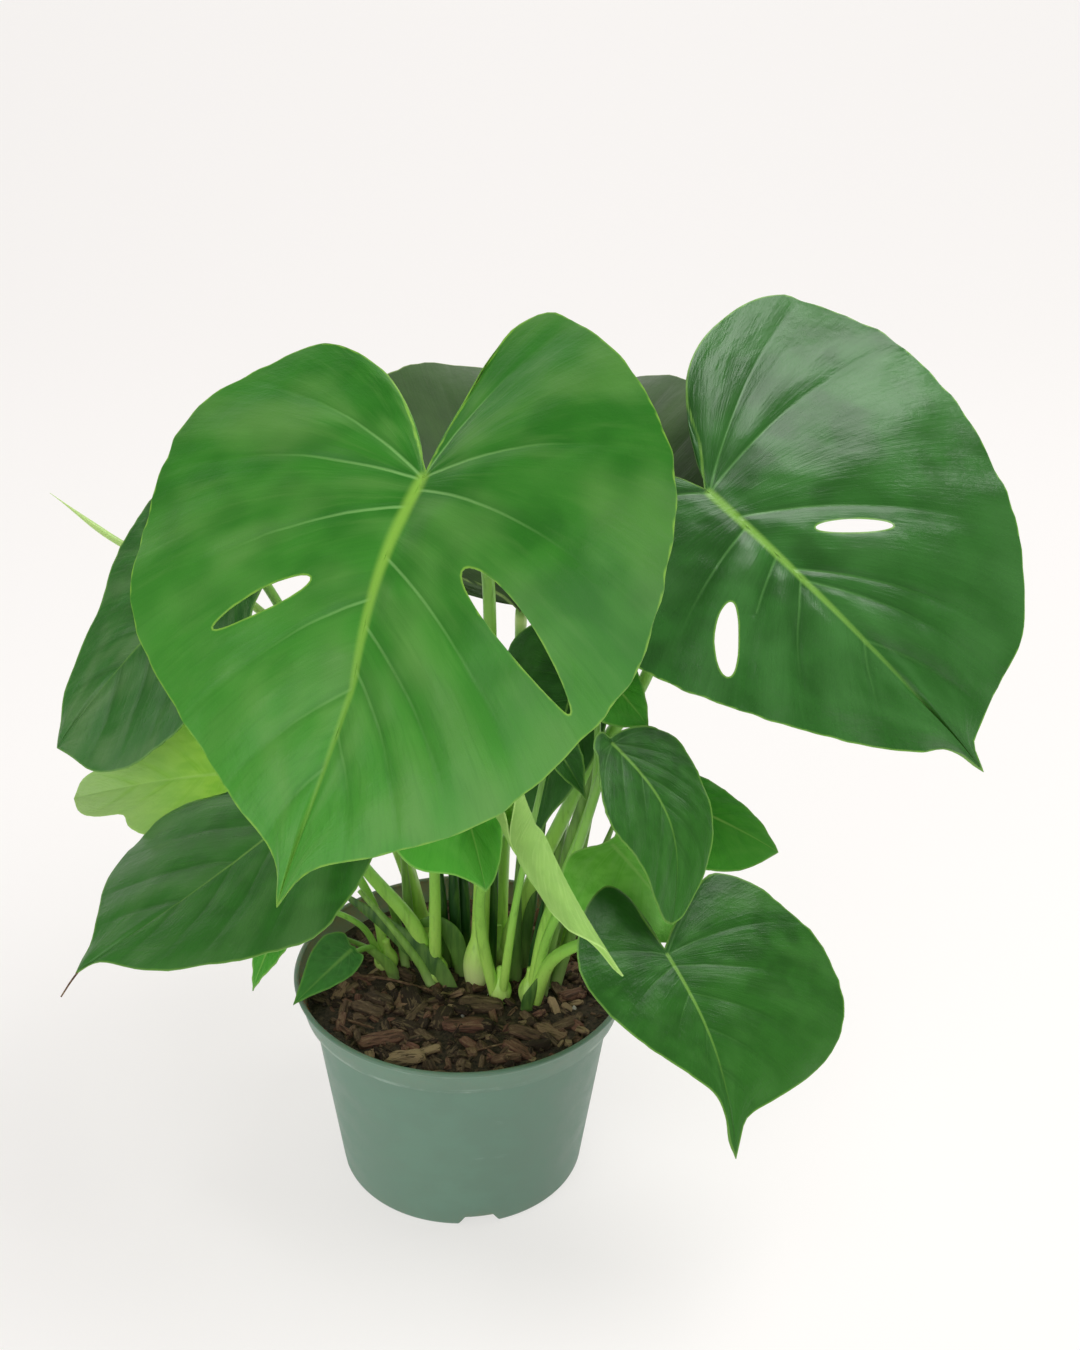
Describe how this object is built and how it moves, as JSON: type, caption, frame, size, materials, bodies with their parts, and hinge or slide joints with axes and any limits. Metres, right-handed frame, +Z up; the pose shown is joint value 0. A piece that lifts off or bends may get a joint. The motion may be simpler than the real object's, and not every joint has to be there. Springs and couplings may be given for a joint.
{
  "type": "potted swiss cheese plant",
  "caption": "Young potted Monstera with broad heart-shaped leaves, some slotted, on long arching stalks, in bark potting mix in a green plastic nursery pot.",
  "frame": {"origin": "centre of the pot's underside, on the surface that the pot stands on", "axes": "+Z up along the pot's axis; -Y towards the front, where the largest leaf hangs over the rim; +X to the right, seen from the front"},
  "size_m": [0.4286, 0.3497, 0.4266],
  "materials": {
    "pot_plastic": "satin moulded plastic",
    "potting_mix": "rough bark chips and peat",
    "stalk": "smooth living stalk",
    "front_leaf_green": "waxy living leaf, mid green",
    "dark_leaf_green": "waxy living leaf, dark green",
    "mid_leaf_green": "waxy living leaf, mid green",
    "young_leaf_green": "soft new leaf, light green"
  },
  "bodies": {
    "root": {"pot": "pot_plastic", "potting_mix": "potting_mix", "left_plantlet": "stalk", "front_left_plantlet": "stalk", "middle_plantlet": "stalk", "front_plantlet": "stalk", "right_plantlet": "stalk", "back_plantlet": "stalk", "back_right_plantlet": "stalk", "back_left_plantlet": "stalk", "front_leaf": "front_leaf_green", "right_leaf": "dark_leaf_green", "back_leaf": "dark_leaf_green", "rear_leaf": "dark_leaf_green", "left_leaf": "dark_leaf_green", "bright_leaf": "young_leaf_green", "lower_left_leaf": "dark_leaf_green", "lower_right_leaf": "dark_leaf_green", "glossy_leaf": "dark_leaf_green", "shoulder_leaf": "mid_leaf_green", "low_leaf": "mid_leaf_green", "upper_bright_leaf": "mid_leaf_green", "under_leaf": "mid_leaf_green", "furled_leaf": "young_leaf_green", "hidden_leaf": "dark_leaf_green", "rim_leaf": "dark_leaf_green", "hanging_leaf": "mid_leaf_green", "curled_leaf": "mid_leaf_green"}
  },
  "joints": []
}
